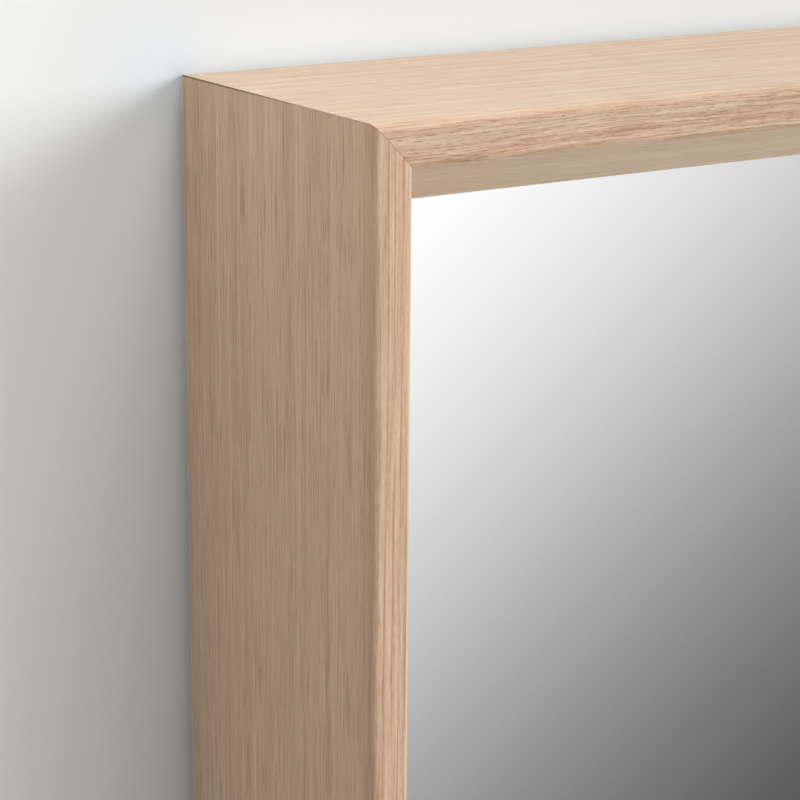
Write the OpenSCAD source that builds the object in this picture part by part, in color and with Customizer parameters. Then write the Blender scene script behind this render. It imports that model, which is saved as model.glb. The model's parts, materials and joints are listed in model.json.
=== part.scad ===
// Full-length wall mirror with a deep, mitred oak frame.
// Millimetres. X runs to the right, Z up, and the front looks along -Y. The wall is the plane Y = 0.
// The origin lies on the wall plane, midway between the two keyhole hangers.

/* [Overall] */
// Width of the frame
frame_w = 600; // [540:10:1000]
// Height of the frame
frame_h = 1600; // [1200:10:2000]
// Depth of the frame from the wall to its front
frame_d = 60; // [56:1:90]

/* [Moulding] */
// Width of the flat front land
land_w = 6.8; // [5:0.1:14]
// How far the splayed inner face comes in towards the glass
splay_w = 9.2; // [8.5:0.1:14]
// Thickness of the moulding's outer wall behind the glass
wall_t = 11.5; // [10:0.1:12.5]
// Depth of the glass behind the front of the frame
recess_d = 20; // [10:0.5:24]
// Height of the small square edge in front of the glass
sight_t = 1; // [0.5:0.1:2]
// Radius of the outer front arris
outer_arris_r = 1.5; // [0.4:0.1:2.2]
// Radius of the inner front arris
inner_arris_r = 1.3; // [0.4:0.1:2]

/* [Mitre tongues] */
// Length of a tongue, along the frame's depth
tongue_l = 36; // [20:1:40]
// Width of a tongue, across the mitre
tongue_w = 9; // [6:0.5:10]
// Thickness of a tongue
tongue_t = 3; // [2:0.5:3.5]
// Glue gap around a tongue
tongue_gap = 0.1; // [0.05:0.05:0.3]

/* [Pane and backing] */
// Thickness of the mirror pane
glass_t = 4; // [3:0.5:6]
// Gap between the pane's edge and the rebate, filled below by the setting blocks
glass_gap = 1.5; // [1:0.25:2]
// Length of a setting block
block_l = 50; // [20:5:100]
// Distance of each setting block from the middle of the pane
block_x = 140; // [80:5:160]
// Thickness of the safety film on the back of the pane
film_t = 0.2; // [0.1:0.05:0.5]
// Margin of bare pane around the safety film
film_margin = 4; // [2:1:10]
// Thickness of the foam tape between film and panel
tape_t = 0.8; // [0.5:0.1:2]
// Width of a foam tape strip
tape_w = 25; // [12:1:40]
// Number of foam tape strips
tape_n = 4; // [2:1:5]
// Distance from the ends of the pane to the ends of the strips
tape_end = 60; // [20:5:200]
// Thickness of the backing panel
panel_t = 5; // [3:0.5:8]
// Gap between the panel's edge and the rebate
panel_gap = 1; // [0.5:0.25:2]

/* [Battens] */
// Width of a retaining batten, measured from the rebate inwards
batten_w = 15; // [12:1:20]
// Chamfer along a batten's free rear edge
batten_chamfer = 1.5; // [0.5:0.5:3]
// Number of screws in each upright batten
stile_screw_n = 5; // [3:1:6]
// Number of screws in each level batten
rail_screw_n = 3; // [2:1:4]
// Distance from the frame's top and bottom to the first screw of an upright batten
stile_screw_end = 200; // [180:5:240]
// Distance from the frame's sides to the first screw of a level batten
rail_screw_end = 90; // [70:5:140]
// Length of a batten screw
batten_screw_l = 22; // [18:1:23]

/* [Cross rails] */
// Height of a cross rail
rail_h = 70; // [60:5:90]
// Thickness of a cross rail, from the wall forwards
rail_t = 15; // [12:0.5:16]
// Gap between a cross rail's end and the frame
rail_gap = 0.5; // [0.2:0.1:1]
// Distance from the frame's top down to the hanging point
hang_drop = 110; // [95:5:130]
// Distance from the frame's bottom up to the middle of the lower rail
lower_rise = 110; // [95:5:130]
// Distance between the two screws at a rail's end
rail_screw_pitch = 40; // [30:2:44]
// Distance left between a rail screw's tip and the backing panel
rail_screw_tip = 5; // [4:0.5:10]

/* [Keyhole hangers] */
// Distance from the frame's side to the nearer keyhole
hanger_inset = 100; // [80:5:200]
// Width of a hanger plate
plate_w = 46; // [44:1:60]
// Height of a hanger plate
plate_h = 26; // [25:1:30]
// Thickness of a hanger plate
plate_t = 2; // [1.5:0.25:3]
// Corner radius of a hanger plate
plate_r = 3; // [1:0.5:5]
// Gap around a hanger plate in its recess
plate_gap = 0.2; // [0.1:0.1:0.5]
// Radius of the round hole that takes the wall screw's head
entry_r = 4.5; // [4:0.25:5]
// Width of the slot that the wall screw's shank slides up in
slot_w = 4.5; // [4:0.25:4.75]
// Rise from the round hole's centre to the slot's upper centre
slot_rise = 8; // [7:0.5:8.5]
// Depth of the pocket behind a hanger plate
pocket_d = 7; // [5:0.5:8]
// Room around the wall screw's head in the pocket
pocket_gap = 1; // [0.5:0.25:1.5]
// Distance between the two screws of a hanger plate
plate_screw_pitch = 34; // [32:1:34]
// Length of a hanger plate screw
plate_screw_l = 12; // [8:1:12]

/* [Corner brackets] */
// Length of a corner bracket's leg
bracket_l = 36; // [32:1:45]
// Width of a corner bracket
bracket_w = 12; // [9:0.5:12]
// Thickness of a corner bracket
bracket_t = 2; // [1.5:0.25:3]
// Inner radius of a corner bracket's bend
bend_r = 1.5; // [0.5:0.25:3]
// Distance from the inner corner to a leg's first screw
bracket_screw_1 = 14; // [12:1:18]
// Distance from the inner corner to a leg's second screw
bracket_screw_2 = 29; // [26:1:29]
// Length of a bracket screw
bracket_screw_l = 10; // [6:0.5:10]

/* [Screws] */
// Radius of a screw's shank
screw_r = 1.5; // [1.25:0.05:1.75]
// Radius of a screw's countersunk head
screw_head_r = 3; // [2.75:0.05:3.5]
// Clearance around a screw in its hole
screw_gap = 0.05; // [0.02:0.01:0.1]

/* [Hidden] */
$fn = 48;

// Overcut, so that a cutting tool passes the face that it opens
eps = 0.1;

oak = "#c9a98a";
pine = "#d9bd8c";
board = "#a5805a";
steel = "#b9bcc0";

// The frame's outline
top_z = hang_drop;
bottom_z = top_z - frame_h;
mid_z = (top_z + bottom_z) / 2;
half_w = frame_w / 2;

// Stack of layers, as distances in front of the wall
glass_front = frame_d - recess_d;
glass_back = glass_front - glass_t;
film_back = glass_back - film_t;
tape_back = film_back - tape_t;
panel_back = tape_back - panel_t;
batten_d = panel_back - rail_t;
rail_screw_l = panel_back - rail_screw_tip;

// Sizes of the pane and of the space between the rebate's walls
sight_u = land_w + splay_w;
inner_w = frame_w - 2 * wall_t;
inner_h = frame_h - 2 * wall_t;
glass_w = inner_w - 2 * glass_gap;
glass_h = inner_h - 2 * glass_gap;

// The mitre prism reaches just past the moulding's inner edge
mitre_u = sight_u + eps;

// Middle of a tongue, measured in from both outer faces and forward from the wall
tongue_u = wall_t / 2;
tongue_v = frame_d / 2;

screw_head_h = screw_head_r - screw_r;
screw_tip_h = 2 * screw_r;

stile_screw_pitch = (frame_h - 2 * stile_screw_end) / (stile_screw_n - 1);
rail_screw_step = (frame_w - 2 * rail_screw_end) / (rail_screw_n - 1);

lower_z = bottom_z + lower_rise;
bracket_v = rail_t / 2;

// Distance of each keyhole from the middle of the frame
hanger_x = half_w - hanger_inset;

// The keyhole's round hole is at the hanger's origin, so the plate reaches higher above it than below
plate_lift = slot_rise / 2;

// Puts its children, drawn for the top left corner, at one of the four corners.
// There the outer corner is the origin, X runs inwards and Z runs down from it, below zero.
module at_corner(right, low) {
  translate([right ? half_w : -half_w, 0, low ? bottom_z : top_z])
    turn_side(right, [1, 0, 0])
      turn_side(low, [0, 0, 1])
        children();
}

// Mirrors its children across the plane with this normal, or leaves them
module turn_side(turned, normal) {
  if (turned) mirror(normal) children();
  else children();
}

// Cuts away what lies outside an arc that rounds the corner at p between two straight edges.
// a and b are unit vectors from p along the edges.
module round_cut(p, a, b, r) {
  half = acos(a * b) / 2;
  reach = r / tan(half);
  bisector = (a + b) / norm(a + b);
  centre = p + bisector * r / sin(half);
  difference() {
    polygon([p - bisector * eps, p + a * reach, centre, p + b * reach]);
    translate(centre) circle(r);
  }
}

// The moulding's cross-section: X is the distance in from the outer face, Y minus the distance from the wall
module moulding_section() {
  splay_d = recess_d - sight_t;
  splay_dir = [splay_w, splay_d] / norm([splay_w, splay_d]);
  difference() {
    polygon([
      [0, 0],
      [wall_t, 0],
      [wall_t, -glass_front],
      [sight_u, -glass_front],
      [sight_u, -glass_front - sight_t],
      [land_w, -frame_d],
      [0, -frame_d]
    ]);
    round_cut([0, -frame_d], [1, 0], [0, 1], outer_arris_r);
    round_cut([land_w, -frame_d], [-1, 0], splay_dir, inner_arris_r);
  }
}

// A countersunk screw along +Z, head face at zero. grow makes the hole that it fits.
module screw_form(l, grow) {
  r = screw_r + grow;
  head_r = screw_head_r + grow;
  mouth = grow > 0 ? [[head_r, -eps], [0, -eps]] : [[0, 0]];
  rotate_extrude()
    polygon(concat(mouth, [
      [0, l + grow],
      [r, l - screw_tip_h + grow],
      [r, screw_head_h],
      [head_r, 0]
    ]));
}

// Places of the screws, each with its head at the origin and its tip along +Z

module at_stile_batten_screws() {
  for (i = [0 : stile_screw_n - 1])
    translate([wall_t + batten_w, -(rail_t + batten_d / 2), -stile_screw_end - i * stile_screw_pitch])
      rotate([0, -90, 0]) children();
}

module at_rail_batten_screws() {
  for (i = [0 : rail_screw_n - 1])
    translate([rail_screw_end + i * rail_screw_step, -(rail_t + batten_d / 2), -wall_t - batten_w])
      children();
}

module at_bracket_leg_screws() {
  for (d = [bracket_screw_1, bracket_screw_2])
    translate([wall_t + d, -bracket_v, -wall_t - bracket_t]) children();
}

// Both legs of the top left bracket: the second leg is the first one mirrored across the mitre
module at_bracket_screws() {
  at_bracket_leg_screws() children();
  mirror([1, 0, 1]) at_bracket_leg_screws() children();
}

// The two screws at the left end of a cross rail whose middle is at z
module at_rail_end_screws(z) {
  for (side = [-1, 1])
    translate([-half_w + wall_t + batten_w / 2, 0, z + side * rail_screw_pitch / 2])
      rotate([90, 0, 0]) children();
}

module at_rail_screws(z) {
  at_rail_end_screws(z) children();
  mirror([1, 0, 0]) at_rail_end_screws(z) children();
}

module at_plate_screws() {
  for (side = [-1, 1])
    translate([side * plate_screw_pitch / 2, 0, 0])
      rotate([90, 0, 0]) children();
}

// The mitred lengths of moulding

// A loose tongue across the top left mitre, with half-round ends; grow widens it into its slot
module tongue_form(grow) {
  t = tongue_t + 2 * grow;
  w = tongue_w + 2 * grow;
  straight = tongue_l - tongue_t;
  translate([tongue_u, -tongue_v, -tongue_u])
    rotate([0, -45, 0]) {
      cube([w, straight, t], center = true);
      for (end = [-1, 1])
        translate([0, end * straight / 2, 0])
          rotate([0, 90, 0]) cylinder(h = w, d = t, center = true);
    }
}

// Upright prism over an outline in X and Z, deeper than the frame at both sides
module mitre_prism(points) {
  translate([0, eps, 0])
    rotate([90, 0, 0])
      linear_extrude(frame_d + 2 * eps) polygon(points);
}

// The left stile in the top left corner's place: full length, mitred at both ends
module stile() {
  color(oak)
    difference() {
      intersection() {
        translate([0, 0, -frame_h]) linear_extrude(frame_h) moulding_section();
        mitre_prism([
          [-eps, eps],
          [mitre_u, -mitre_u],
          [mitre_u, mitre_u - frame_h],
          [-eps, -frame_h - eps]
        ]);
      }
      tongue_form(tongue_gap);
      translate([0, 0, -frame_h]) mirror([0, 0, 1]) tongue_form(tongue_gap);
      at_stile_batten_screws() screw_form(batten_screw_l, screw_gap);
      mirror([1, 0, 1]) at_bracket_leg_screws() screw_form(bracket_screw_l, screw_gap);
      translate([0, 0, -frame_h])
        mirror([0, 0, 1])
          mirror([1, 0, 1]) at_bracket_leg_screws() screw_form(bracket_screw_l, screw_gap);
    }
}

// The top rail in the top left corner's place
module rail() {
  color(oak)
    difference() {
      intersection() {
        rotate([0, 90, 0]) linear_extrude(frame_w) moulding_section();
        mitre_prism([
          [-eps, eps],
          [mitre_u, -mitre_u],
          [frame_w - mitre_u, -mitre_u],
          [frame_w + eps, eps]
        ]);
      }
      tongue_form(tongue_gap);
      translate([frame_w, 0, 0]) mirror([1, 0, 0]) tongue_form(tongue_gap);
      at_rail_batten_screws() screw_form(batten_screw_l, screw_gap);
      at_bracket_leg_screws() screw_form(bracket_screw_l, screw_gap);
      translate([frame_w, 0, 0])
        mirror([1, 0, 0]) at_bracket_leg_screws() screw_form(bracket_screw_l, screw_gap);
    }
}

module left_stile() { at_corner(false, false) stile(); }
module right_stile() { at_corner(true, false) stile(); }
module top_rail() { at_corner(false, false) rail(); }
module bottom_rail() { at_corner(false, true) rail(); }

module tongue(right, low) { color(pine) at_corner(right, low) tongue_form(0); }
module tongue_top_left() { tongue(false, false); }
module tongue_top_right() { tongue(true, false); }
module tongue_bottom_left() { tongue(false, true); }
module tongue_bottom_right() { tongue(true, true); }

// Pane and backing

// A flat sheet, centred in the frame, from back to front in distances before the wall
module sheet(w, h, back, front) {
  translate([-w / 2, -front, mid_z - h / 2]) cube([w, front - back, h]);
}

module mirror_glass() {
  color("#c3ccd0") sheet(glass_w, glass_h, glass_back, glass_front);
}

module safety_film() {
  color("#8f9498")
    sheet(glass_w - 2 * film_margin, glass_h - 2 * film_margin, film_back, glass_back);
}

module foam_tape() {
  step = glass_w / tape_n;
  color("#f0efe9")
    for (i = [0 : tape_n - 1])
      translate([(i + 0.5) * step - glass_w / 2, 0, 0])
        sheet(tape_w, glass_h - 2 * tape_end, tape_back, film_back);
}

module setting_blocks() {
  color("#2f3032")
    for (side = [-1, 1])
      translate([side * block_x - block_l / 2, -glass_front, bottom_z + wall_t])
        cube([block_l, glass_t, glass_gap]);
}

module back_panel() {
  color(board)
    sheet(inner_w - 2 * panel_gap, inner_h - 2 * panel_gap, panel_back, tape_back);
}

// Retaining battens

// Section of a batten: X inwards from the rebate's wall, Y minus the distance before the wall
module batten_section() {
  c = batten_chamfer;
  polygon([
    [0, -rail_t],
    [0, -panel_back],
    [batten_w, -panel_back],
    [batten_w, -rail_t - c],
    [batten_w - c, -rail_t]
  ]);
}

module stile_batten() {
  color(pine)
    difference() {
      translate([wall_t, 0, wall_t - frame_h]) linear_extrude(inner_h) batten_section();
      at_stile_batten_screws() screw_form(batten_screw_l, screw_gap);
      for (z = [-hang_drop, lower_rise - frame_h])
        translate([half_w, 0, 0]) at_rail_end_screws(z) screw_form(rail_screw_l, screw_gap);
    }
}

module rail_batten() {
  l = inner_w - 2 * batten_w;
  color(pine)
    difference() {
      translate([wall_t + batten_w, 0, -wall_t])
        rotate([0, 90, 0]) linear_extrude(l) batten_section();
      at_rail_batten_screws() screw_form(batten_screw_l, screw_gap);
    }
}

module batten_left() { at_corner(false, false) stile_batten(); }
module batten_right() { at_corner(true, false) stile_batten(); }
module batten_top() { at_corner(false, false) rail_batten(); }
module batten_bottom() { at_corner(false, true) rail_batten(); }

module batten_screws() {
  color(steel) {
    for (right = [false, true])
      at_corner(right, false) at_stile_batten_screws() screw_form(batten_screw_l, 0);
    for (low = [false, true])
      at_corner(false, low) at_rail_batten_screws() screw_form(batten_screw_l, 0);
  }
}

// Corner brackets

// One leg of the top left bracket, along the top rail, with a half-round end and two countersunk holes
module bracket_leg() {
  end_r = bracket_w / 2;
  difference() {
    translate([wall_t, -bracket_v, -wall_t - bracket_t]) {
      translate([0, -end_r, 0]) cube([bracket_l - end_r, bracket_w, bracket_t]);
      translate([bracket_l - end_r, 0, 0]) cylinder(h = bracket_t, r = end_r);
    }
    at_bracket_leg_screws() screw_form(bracket_screw_l, screw_gap);
  }
}

// Upright prism as deep as a bracket is wide, over an outline in X and Z from the corner of the rebate
module bracket_prism(extra) {
  translate([wall_t, bracket_w / 2 + extra - bracket_v, -wall_t])
    rotate([90, 0, 0]) linear_extrude(bracket_w + 2 * extra) children();
}

// A bracket bent from one strip: both legs, a fillet inside the bend and a rounded outside
module bracket(right, low) {
  inside = bracket_t + bend_r;
  color(steel)
    at_corner(right, low)
      difference() {
        union() {
          bracket_leg();
          mirror([1, 0, 1]) bracket_leg();
          bracket_prism(0)
            difference() {
              translate([bracket_t, -inside]) square(bend_r);
              translate([inside, -inside]) circle(bend_r);
            }
        }
        bracket_prism(eps) round_cut([0, 0], [1, 0], [0, -1], inside);
      }
}

module bracket_top_left() { bracket(false, false); }
module bracket_top_right() { bracket(true, false); }
module bracket_bottom_left() { bracket(false, true); }
module bracket_bottom_right() { bracket(true, true); }

module bracket_screws() {
  color(steel)
    for (right = [false, true], low = [false, true])
      at_corner(right, low) at_bracket_screws() screw_form(bracket_screw_l, 0);
}

// Cross rails

// A rail between the stiles with its middle at z, screwed through to the upright battens
module cross_rail(z) {
  l = inner_w - 2 * rail_gap;
  difference() {
    translate([-l / 2, -rail_t, z - rail_h / 2]) cube([l, rail_t, rail_h]);
    at_rail_screws(z) screw_form(rail_screw_l, screw_gap);
  }
}

// The rounded outline of a hanger plate
module plate_outline(grow) {
  w = plate_w + 2 * grow;
  h = plate_h + 2 * grow;
  r = plate_r + grow;
  square([w - 2 * r, h], center = true);
  square([w, h - 2 * r], center = true);
  for (x = [r - w / 2, w / 2 - r], z = [r - h / 2, h / 2 - r])
    translate([x, z]) circle(r);
}

// The keyhole's outline: a round hole with a narrower slot above it
module keyhole_outline(r, w) {
  circle(r);
  translate([-w / 2, 0]) square([w, slot_rise]);
  translate([0, slot_rise]) circle(w / 2);
}

module hanger_plate() {
  color(steel)
    difference() {
      rotate([90, 0, 0])
        linear_extrude(plate_t)
          difference() {
            translate([0, plate_lift]) plate_outline(0);
            keyhole_outline(entry_r, slot_w);
          }
      translate([0, 0, plate_lift]) at_plate_screws() screw_form(plate_screw_l, screw_gap);
    }
}

module at_hangers() {
  for (side = [-1, 1]) translate([side * hanger_x, 0, 0]) children();
}

module hanging_rail() {
  color(pine)
    difference() {
      cross_rail(0);
      at_hangers() {
        rotate([90, 0, 0])
          translate([0, plate_lift, -eps]) linear_extrude(plate_t + eps) plate_outline(plate_gap);
        rotate([90, 0, 0])
          linear_extrude(plate_t + pocket_d)
            keyhole_outline(entry_r + pocket_gap, 2 * (entry_r + pocket_gap));
        translate([0, 0, plate_lift]) at_plate_screws() screw_form(plate_screw_l, screw_gap);
      }
    }
}

module lower_rail() {
  color(pine) cross_rail(lower_z);
}

module rail_screws() {
  color(steel) {
    at_rail_screws(0) screw_form(rail_screw_l, 0);
    at_rail_screws(lower_z) screw_form(rail_screw_l, 0);
  }
}

module hanger_plate_left() { translate([-hanger_x, 0, 0]) hanger_plate(); }
module hanger_plate_right() { translate([hanger_x, 0, 0]) hanger_plate(); }

module hanger_screws() {
  color(steel)
    at_hangers() translate([0, 0, plate_lift]) at_plate_screws() screw_form(plate_screw_l, 0);
}

left_stile();
right_stile();
top_rail();
bottom_rail();
tongue_top_left();
tongue_top_right();
tongue_bottom_left();
tongue_bottom_right();
mirror_glass();
safety_film();
foam_tape();
setting_blocks();
back_panel();
batten_left();
batten_right();
batten_top();
batten_bottom();
batten_screws();
bracket_top_left();
bracket_top_right();
bracket_bottom_left();
bracket_bottom_right();
bracket_screws();
hanging_rail();
lower_rail();
rail_screws();
hanger_plate_left();
hanger_plate_right();
hanger_screws();
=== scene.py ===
# %% [markdown]
# A tall wall mirror in a deep oak frame. The photograph shows only its upper left corner, from close
# by, so the wood carries the picture: two lengths of moulding that meet in a mitre, and a pane set
# well back between them. This lesson loads the packed model as a fixed frame, photographs it in a
# small studio, and gives every piece the finish of the real material. Nothing is read from disk but
# the frame.

# %% Load the frame
import json
import math

import bmesh
import bpy
from mathutils import Matrix, Vector

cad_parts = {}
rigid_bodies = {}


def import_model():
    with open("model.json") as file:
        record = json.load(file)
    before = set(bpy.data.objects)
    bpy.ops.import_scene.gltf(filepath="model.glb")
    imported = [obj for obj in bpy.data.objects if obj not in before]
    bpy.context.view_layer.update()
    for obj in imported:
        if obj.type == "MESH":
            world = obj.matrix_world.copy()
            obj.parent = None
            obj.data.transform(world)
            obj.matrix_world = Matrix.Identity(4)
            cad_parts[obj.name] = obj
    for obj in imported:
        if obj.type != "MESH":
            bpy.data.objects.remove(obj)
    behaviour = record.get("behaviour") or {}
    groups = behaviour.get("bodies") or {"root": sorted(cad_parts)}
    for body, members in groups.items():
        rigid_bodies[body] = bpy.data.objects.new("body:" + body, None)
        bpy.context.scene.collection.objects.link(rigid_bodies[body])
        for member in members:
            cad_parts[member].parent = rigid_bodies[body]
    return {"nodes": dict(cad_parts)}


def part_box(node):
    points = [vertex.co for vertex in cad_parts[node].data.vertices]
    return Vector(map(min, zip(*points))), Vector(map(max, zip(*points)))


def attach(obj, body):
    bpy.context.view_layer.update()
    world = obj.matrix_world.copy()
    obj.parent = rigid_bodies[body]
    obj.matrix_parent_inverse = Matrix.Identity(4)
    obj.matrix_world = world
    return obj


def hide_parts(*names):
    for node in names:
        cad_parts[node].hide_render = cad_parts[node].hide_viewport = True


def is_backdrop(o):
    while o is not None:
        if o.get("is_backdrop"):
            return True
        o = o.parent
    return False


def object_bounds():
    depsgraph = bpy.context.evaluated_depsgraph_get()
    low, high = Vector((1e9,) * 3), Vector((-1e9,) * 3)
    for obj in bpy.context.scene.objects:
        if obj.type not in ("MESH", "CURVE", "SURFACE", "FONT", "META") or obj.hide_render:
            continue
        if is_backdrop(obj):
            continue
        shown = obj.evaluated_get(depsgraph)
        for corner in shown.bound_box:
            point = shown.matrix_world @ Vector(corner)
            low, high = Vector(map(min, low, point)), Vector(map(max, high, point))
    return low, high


for thing in list(bpy.data.objects):
    bpy.data.objects.remove(thing, do_unlink=True)

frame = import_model()
nodes = frame["nodes"]
cad_low, cad_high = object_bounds()
print("pieces:", len(nodes), "size in mm:", [round(1000 * s) for s in cad_high - cad_low])

# %% [markdown]
# The camera stands to the left of the corner and a little above it, with a long lens. Its place and
# angles come from fitting the photographed edges of the frame: yaw turns it to the right of straight
# at the wall, pitch tips it down, and roll leans it over by less than half a degree. The same picture
# could be had by cropping a wider one, but then every other view would be cropped as well.

# %% Camera
CORNER = Vector((cad_low.x, cad_low.y, cad_high.z))
EYE = Vector((-0.49661, -0.37296, 0.16973))
YAW, PITCH, ROLL = math.radians(32.779), math.radians(15.383), math.radians(0.428)
LENS_MM, SENSOR_MM = 113.79, 36

forward = Vector((math.sin(YAW) * math.cos(PITCH), math.cos(YAW) * math.cos(PITCH), -math.sin(PITCH)))
level_right = Vector((math.cos(YAW), -math.sin(YAW), 0))
level_up = level_right.cross(forward)
right = math.cos(ROLL) * level_right + math.sin(ROLL) * level_up
up = math.cos(ROLL) * level_up - math.sin(ROLL) * level_right

camera = bpy.data.objects.new("camera", bpy.data.cameras.new("camera"))
camera.data.lens = LENS_MM
camera.data.sensor_width = SENSOR_MM
camera.data.clip_start = 0.01
camera.matrix_world = Matrix.Translation(EYE) @ Matrix((right, up, -forward)).transposed().to_4x4()
bpy.context.collection.objects.link(camera)
bpy.context.scene.camera = camera
bpy.context.scene.view_settings.view_transform = "Standard"
print("camera is", round(1000 * (CORNER - EYE).length), "mm from the corner")

# %% [markdown]
# Paint charts and screens give a colour as three numbers from 0 to 255. Blender mixes light, not
# screen numbers, so each of them is turned into the light that it stands for. Typing the light values
# in would work as well, but nobody can picture them.

# %% Colours
def linear(r, g, b):
    """A colour as seen on a screen, 0 to 255, as the light value that Blender mixes with."""
    def channel(c):
        c /= 255
        return c / 12.92 if c <= 0.04045 else ((c + 0.055) / 1.055) ** 2.4
    return (channel(r), channel(g), channel(b), 1.0)


WHITE = (1.0, 1.0, 1.0, 1.0)
print("screen grey 128 as light:", round(linear(128, 128, 128)[0], 3))

# %% [markdown]
# Every finish here is a small sum: coordinates go in, noise is stretched and cut, and colours are
# mixed by it. Blender's nodes can be wired one by one, but the wood alone needs dozens, so this cell
# gives each kind of node a short call that returns its output. A finish then reads like the sum that
# it is.

# %% Short calls for shader nodes
class Wiring:
    """Adds nodes to one node tree. An input may be a number, a vector, a colour or another node's output."""

    def __init__(self, tree):
        self.tree = tree

    def add(self, kind, inputs=None, **settings):
        node = self.tree.nodes.new(kind)
        for key, value in settings.items():
            setattr(node, key, value)
        for key, value in (inputs or {}).items():
            if isinstance(value, bpy.types.NodeSocket):
                self.tree.links.new(value, node.inputs[key])
            else:
                node.inputs[key].default_value = value
        return node

    def math(self, operation, a, b=0.0):
        return self.add("ShaderNodeMath", {0: a, 1: b}, operation=operation).outputs[0]

    def plus(self, *terms):
        total = terms[0]
        for term in terms[1:]:
            total = self.math("ADD", total, term)
        return total

    def minus(self, a, b):
        return self.math("SUBTRACT", a, b)

    def times(self, *factors):
        product = factors[0]
        for factor in factors[1:]:
            product = self.math("MULTIPLY", product, factor)
        return product

    def ramp(self, value, low, high, to_low=0.0, to_high=1.0):
        """Rises smoothly from to_low to to_high while value goes from low to high."""
        sockets = {"Value": value, "From Min": low, "From Max": high, "To Min": to_low, "To Max": to_high}
        return self.add("ShaderNodeMapRange", sockets, interpolation_type="SMOOTHSTEP").outputs[0]

    def fade(self, distance, reach):
        """1 at no distance, falling to about a third with each further reach."""
        return self.math("POWER", math.exp(-1 / reach), distance)

    def dot(self, vector, direction):
        sockets = {0: vector, 1: direction}
        return self.add("ShaderNodeVectorMath", sockets, operation="DOT_PRODUCT").outputs["Value"]

    def in_mm(self, place, axis):
        """How far a place given in metres lies along an axis, in mm."""
        return self.dot(place, [1000 * c for c in axis])

    def stretch(self, vector, lengths):
        """Divides a place by the size of a feature along each axis."""
        sockets = {0: vector, 1: [1 / length for length in lengths]}
        return self.add("ShaderNodeVectorMath", sockets, operation="MULTIPLY").outputs[0]

    def noise(self, vector, detail=2.0, roughness=0.5):
        """Soft noise around zero, from about -0.4 to 0.4."""
        sockets = {"Vector": vector, "Scale": 1.0, "Detail": detail, "Roughness": roughness}
        return self.minus(self.add("ShaderNodeTexNoise", sockets).outputs[0], 0.5)

    def mix(self, amount, a, b, blend="MIX"):
        sockets = {"Factor": amount, 6: a, 7: b}
        return self.add("ShaderNodeMix", sockets, data_type="RGBA", blend_type=blend).outputs[2]

    def tinted(self, colour, tint):
        return self.mix(1.0, colour, tint, "MULTIPLY")

    def join(self, x, y, z):
        return self.add("ShaderNodeCombineXYZ", {0: x, 1: y, 2: z}).outputs[0]

    def bump(self, height, depth_mm):
        sockets = {"Height": height, "Strength": 1.0, "Distance": depth_mm / 1000}
        return self.add("ShaderNodeBump", sockets).outputs[0]


print("calls:", ", ".join(name for name in vars(Wiring) if not name.startswith("_")))

# %% [markdown]
# A finish is a material with one shader. What is the same all over a surface is set on the shader
# itself, and what varies is wired to it. A piece is dressed by putting the finish in its first
# material slot, which leaves its shape alone.

# %% Make a finish and put it on
def new_finish(name, **uniform):
    """A fresh material with its shader, and the wiring to finish it with."""
    material = bpy.data.materials.new(name)
    material.use_nodes = True
    wiring = Wiring(material.node_tree)
    shader = material.node_tree.nodes["Principled BSDF"]
    for key, value in uniform.items():
        shader.inputs[key.replace("_", " ")].default_value = value
    return material, wiring, shader


def connect(wiring, shader, **outputs):
    for key, value in outputs.items():
        wiring.tree.links.new(value, shader.inputs[key.replace("_", " ")])


def dress(material, *names):
    for name in names:
        nodes[name].material_slots[0].material = material
    print(material.name, "on", ", ".join(names))


# %% [markdown]
# The wall and the floor belong to the studio, not to the object. Both are pale and plain. In the photograph
# the wall is darker right beside the frame, and stays a neutral grey there. The lamps alone don't give that
# in this studio, where the oak throws warm light back on the wall. So shade is painted into the wall's
# paint: a thin dark line of painted contact shade, fainter above the frame than beside it, and a painted
# cool tint that cancels the oak's warm bounce light. Both depend on the place on the wall alone, so they
# stay put wherever the camera stands.

# %% Painted shade near the frame
TINT_REACH, FAR_TINT, NEAR_TINT = 12, (0.97, 0.97, 0.985, 1.0), (1.02, 1.12, 1.24, 1.0)
PAINTED_SHADE_REACH, PAINTED_SHADE_TONE = 2.2, (0.15, 0.15, 0.15, 1.0)
PAINTED_SHADE_BESIDE, PAINTED_SHADE_ABOVE = 0.55, 0.33


def mm_outside(w, place):
    """How far a place on the wall or floor lies outside the frame's box, in mm."""
    squares = []
    for axis, low, high in zip(((1, 0, 0), (0, 1, 0), (0, 0, 1)), cad_low, cad_high):
        off_middle = w.math("ABSOLUTE", w.minus(w.in_mm(place, axis), 500 * (low + high)))
        beyond = w.math("MAXIMUM", w.minus(off_middle, 500 * (high - low)), 0.0)
        squares.append(w.times(beyond, beyond))
    return w.math("SQRT", w.plus(*squares))


# Paints shade on the wall: a thin dark line of contact shade, and a cool tint that cancels the warm light
# thrown back by the oak.
def paint_shade_near_frame(w, place, away, paint):
    above = w.ramp(w.minus(w.in_mm(place, (0, 0, 1)), 1000 * cad_high.z), -8.0, 0.0)
    strength = w.plus(PAINTED_SHADE_BESIDE, w.times(above, PAINTED_SHADE_ABOVE - PAINTED_SHADE_BESIDE))
    line = w.times(w.fade(away, PAINTED_SHADE_REACH), strength)
    tint = w.mix(w.fade(away, TINT_REACH), FAR_TINT, NEAR_TINT)
    return w.mix(line, w.tinted(paint, tint), PAINTED_SHADE_TONE)


print("dark line beside and above the frame:", PAINTED_SHADE_BESIDE, PAINTED_SHADE_ABOVE)

# %% [markdown]
# A solid wall would hide the mirror's back from a camera behind it, so the sheet can be seen from its
# front only, and it casts no shadow on the back. It throws soft light on the frame's sides as a real
# wall does. The frame's back lies right on it, and rays shorter than TOUCH pass through, or else the
# back would be black from behind. Far from the frame the paint turns into an even pale tone, for eye
# and mirror only, so that no lamp's edge shows on it in any view.

# %% Painted plaster
TOUCH = 0.0005
EVEN_LEVEL = 0.98


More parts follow.
